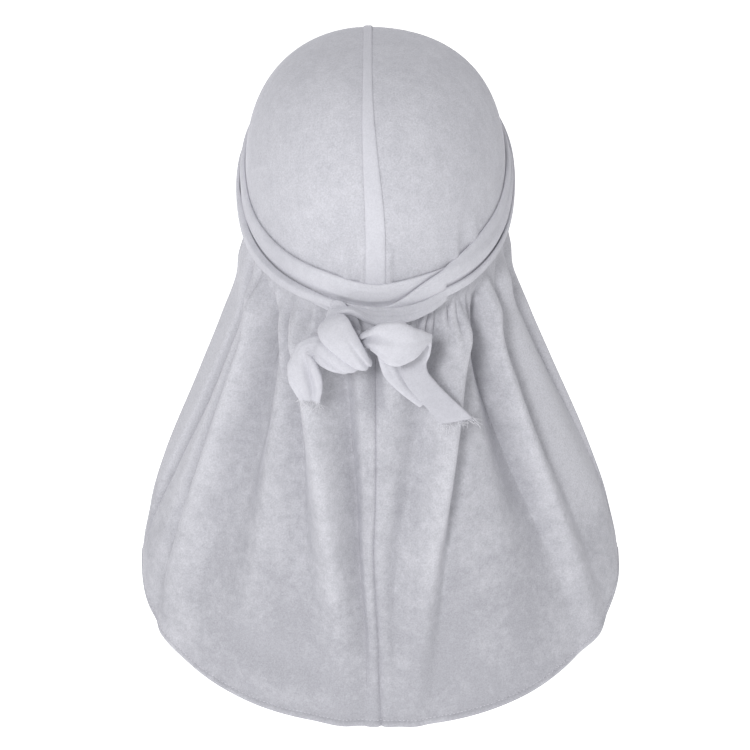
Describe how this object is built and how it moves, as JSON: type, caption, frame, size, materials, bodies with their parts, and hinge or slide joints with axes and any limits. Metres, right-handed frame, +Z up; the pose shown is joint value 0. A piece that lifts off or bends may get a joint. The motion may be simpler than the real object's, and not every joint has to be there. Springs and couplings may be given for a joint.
{
  "type": "durag",
  "caption": "Velvet durag tied at the back: fitted crown with a raised seam, wrapped ties and a long flared cape with a rounded hem.",
  "frame": {"origin": "inside the crown, at the point that rests on the top of the head", "axes": "+Z up, +Y the way the wearer faces, +X the wearer's right; the cape and the knot are on the -Y side"},
  "size_m": [0.3017, 0.2294, 0.4014],
  "materials": {
    "crown_velvet": "light grey crushed velvet, stretched smooth",
    "seam_velvet": "light grey velvet, folded and sewn",
    "cape_velvet": "light grey crushed velvet, hanging in folds",
    "tie_velvet": "light grey velvet, bunched and tied"
  },
  "bodies": {
    "root": {"crown_panel_left": "crown_velvet", "crown_panel_right": "crown_velvet", "crown_seam": "seam_velvet", "front_band": "seam_velvet", "cape_panel_left": "cape_velvet", "cape_panel_right": "cape_velvet", "tie_left": "tie_velvet", "tie_right": "tie_velvet"}
  },
  "joints": []
}
